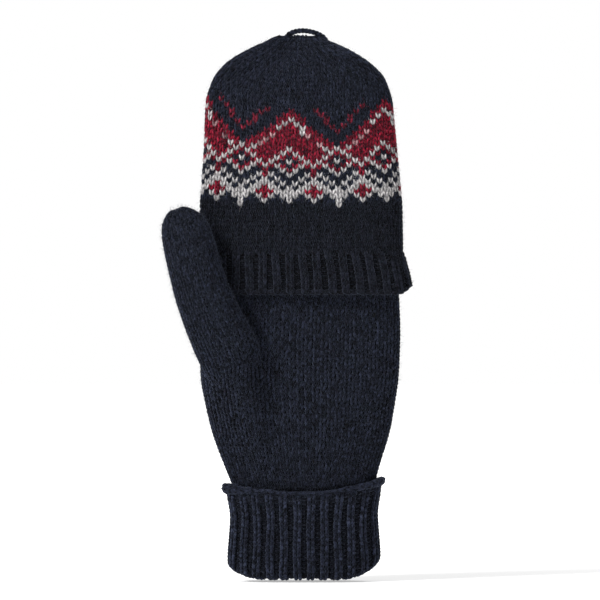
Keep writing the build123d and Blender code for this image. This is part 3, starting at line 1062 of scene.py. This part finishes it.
# ---- loop, seam and button
def add_cord(cloth, path, normal, radius, pitch, colour):
    """Two plies of yarn wound round each other along a row of points."""
    tangent = unit(np.gradient(path, axis=0))
    side = unit(np.cross(tangent, normal))
    above = np.cross(side, tangent)
    walked = np.concatenate(([0], np.cumsum(np.linalg.norm(np.diff(path, axis=0), axis=1))))
    for ply in range(2):
        angle = 2 * math.pi * (walked / pitch + ply / 2)
        line = path + 0.42 * radius * (np.cos(angle)[:, None] * side + np.sin(angle)[:, None] * above)
        add_yarn(cloth, line[None], above, 0.64 * radius, colour, sides=8, flat=1.0)


def make_loop():
    """The twisted button loop at the tip of the cap and the stitches that hold its two feet."""
    (left, front, base), (right, back, top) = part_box("cap_loop")
    middle_y = (front + back) / 2
    cord = 0.62 * (back - front)  # the twist fills out to more than the bare CAD cord
    foot_drop = 1.8 * MM
    tail = 3.2 * MM              # the right foot runs on down the cap's shoulder
    turn = np.linspace(0, math.pi, 60)
    x = (left + right) / 2 - ((right - left) / 2 - cord) * np.cos(turn)
    x += tail * np.clip(-np.cos(turn), 0, 1) ** 2
    z = base - foot_drop + (top - cord - base + foot_drop) * np.sin(turn) ** (0.7 + 0.5 * turn / math.pi)
    path = np.stack((x, np.full_like(x, middle_y), z), 1)
    cloth = Cloth()
    add_cord(cloth, path, -BACK, cord, 3.4 * MM, NAVY)
    present(cloth.build("cap_loop_cord"), "cap", "loop_cord", "cap_loop")

    low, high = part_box("loop_anchors")
    knot = (high[1] - low[1]) / 2
    cloth = Cloth()
    wind = np.linspace(0, 6 * math.pi, 60)
    for foot in (low[0] + knot, high[0] - knot):
        wrap = np.stack((
            foot + 0.86 * knot * np.cos(wind),
            middle_y + 0.86 * knot * np.sin(wind),
            low[2] - 0.5 * MM + 1.5 * MM * wind / wind[-1],
        ), 1)
        outward = np.stack((np.cos(wind), np.sin(wind), np.zeros_like(wind)), 1)
        add_yarn(cloth, wrap[None], outward, 0.30 * MM, NAVY * 1.1)
    present(cloth.build("loop_anchor_stitches"), "cap", "loop_cord", "loop_anchors")


def make_knuckle_seam():
    """Slanted overcast stitches that join the back of the hand to the cap, along the fold line."""
    half = (corner("knuckle_seam", 1, 0) - corner("knuckle_seam", 0, 0)) / 2
    spread = half / hand_sleeve.girth_at(HAND_HIGH)
    part = 0.5 + np.linspace(-spread, spread, 31)
    lean = 0.9 * (part[1] - part[0])
    lower, normal = (row[:, None] for row in hand_sleeve.at(part, HAND_HIGH - 1.4 * MM, 0.1 * MM))
    upper, _ = cap_sleeve.at(part + lean, CAP_BACK_LOW + 1.8 * MM, 0.1 * MM)
    share = np.linspace(0, 1, 8)[:, None]
    bulge = 0.9 * MM * np.sin(math.pi * share) * normal
    path = lower * (1 - share) + upper[:, None] * share + bulge
    radius = 0.62 * MM * np.array((0.5, 0.9, 1.0, 1.0, 1.0, 1.0, 0.9, 0.5))
    cloth = Cloth()
    colours = NAVY * (1 + 0.1 * rng.standard_normal((len(part), 1)))
    add_yarn(cloth, path, normal, radius, colours, sides=8)
    obj = cloth.build("knuckle_seam_stitches")
    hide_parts("knuckle_seam")
    fold_at_knuckles(obj)


def make_button():
    """The horn button keeps its turned CAD shape; its thread becomes separate strands."""
    for holder in frame["nodes"]["button"].material_slots:
        holder.material = HORN
    (left, back, low), (right, face, high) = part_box("button")
    centre_x, centre_z = (left + right) / 2, (low + high) / 2
    (_, shank, _), (_, proud, _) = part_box("button_thread")
    hole = 1.6 * MM              # the holes stand this far from the button's middle each way
    strand = 0.24 * MM
    cloth = Cloth()
    for side in (-1, 1):
        for lay in (-1, 0, 1):
            across = np.array((-1.0, -0.98, -0.8, -0.3, 0.3, 0.8, 0.98, 1.0)) * hole
            rise = np.array((-1.6, -0.7, 0.0, 0.22, 0.22, 0.0, -0.7, -1.6)) * MM
            line = np.stack((
                np.full(8, centre_x + side * hole + 0.95 * lay * strand * 1.6),
                proud - 0.45 * MM + rise + (0.12 * MM if lay == 0 else 0.0),
                centre_z + across,
            ), 1)
            add_yarn(cloth, line[None], BACK, strand, NAVY * 0.8, sides=8, flat=1.0)
    wind = np.linspace(0, 10 * math.pi, 120)
    coil = np.stack((
        centre_x + 2.2 * MM * np.cos(wind),
        shank - 0.5 * MM + (back - shank + 0.4 * MM) * wind / wind[-1],
        centre_z + 2.2 * MM * np.sin(wind),
    ), 1)
    outward = np.stack((np.cos(wind), np.zeros_like(wind), np.sin(wind)), 1)
    add_yarn(cloth, coil[None], outward, 0.34 * MM, NAVY * 0.8)
    present(cloth.build("button_thread_strands"), "root", "sewing_thread", "button_thread")


# ---- camera, light and floor
def glowing_floor(shading):
    """Lit softly near the glove and white further off, so that the floor has no far edge."""
    spot = shading.add("TexCoord", "Object")
    away = shading.add("VectorMath", "Value", {0: spot}, operation="LENGTH")
    reach = {"Value": away, "From Min": 0.1, "From Max": 0.7, "To Min": 0.42, "To Max": 1.0}
    return {"Emission Strength": shading.add("MapRange", "Result", reach, interpolation_type="SMOOTHSTEP")}


def make_stage():
    low, high = (Vector(end) for end in cad_box)
    size = high.z - low.z
    middle_x = (corner("cap_palm_panel", 0, 0) + corner("cap_palm_panel", 1, 0)) / 2
    aim = Vector((middle_x - 0.7 * MM, 0, low.z + 0.508 * size))
    distance = 2.6
    camera = bpy.data.cameras.new("camera")
    camera.sensor_width = 36.0
    camera.lens = camera.sensor_width * (distance - 12 * MM) / (1.081 * size)
    camera.clip_end = 100
    eye = place("camera", camera)
    eye.location = aim + Vector((0, -distance, 0))
    eye.rotation_euler = (math.radians(90), 0, 0)
    bpy.context.scene.camera = eye

    floor = bpy.data.meshes.new("floor")
    reach = 6.0
    level = low.z - 0.3 * MM
    ends = [(x * reach, y * reach, level) for x, y in ((-1, -1), (1, -1), (1, 1), (-1, 1))]
    floor.from_pydata(ends, [], [(0, 1, 2, 3)])
    ground = place("floor", floor)
    floor.materials.append(node_material(
        "pale_floor", glowing_floor, Roughness=0.9, Base_Color=(0.9, 0.9, 0.9, 1.0),
        Emission_Color=(1.0, 1.0, 1.0, 1.0),
    ))

    for name, spot, width, watts in (
        ("key", (-1.5, -1.1, 1.6), 0.5, 52.0),
        ("fill", (1.3, -1.6, 0.6), 1.4, 4.5),
        ("back", (0.6, 1.8, 1.6), 1.6, 24.0),
        ("top", (0.0, 0.2, 2.4), 2.0, 8.0),
    ):
        light = bpy.data.lights.new(name, "AREA")
        light.size = width
        light.energy = watts
        lamp = place(name, light)
        lamp.location = spot
        lamp.rotation_euler = (aim - Vector(spot)).to_track_quat("-Z", "Y").to_euler()

    world = bpy.data.worlds.new("studio")
    world.use_nodes = True
    nodes = world.node_tree.nodes
    shading = Shading(world.node_tree)
    shading.fill(nodes["Background"], {"Color": (1, 1, 1, 1), "Strength": 0.15})
    seen = shading.add("Background", "Background", {"Color": (1, 1, 1, 1), "Strength": 1.0})
    camera_ray = shading.add("LightPath", "Is Camera Ray")
    mix = {"Fac": camera_ray, 1: nodes["Background"].outputs[0], 2: seen}
    shading.fill(nodes["World Output"], {"Surface": shading.add("MixShader", "Shader", mix)})
    bpy.context.scene.world = world
    bpy.context.scene.view_settings.view_transform = "Standard"


make_stage()
flatten_when_flipped(make_cap_panel("cap_palm_knit", "cap_palm_panel", 0, CAP_LOW))
fold_at_knuckles(make_cap_panel("cap_back_knit", "cap_back_panel", BACK_MIDDLE, CAP_BACK_LOW))
make_hem()
make_hand_side("palm_knit", 0.0, "hand_body")
make_hand_side("hand_back_knit", 0.5)
make_hand_top()
make_thumb()
make_cuff()
make_fingers()
make_loop()
make_knuckle_seam()
make_button()
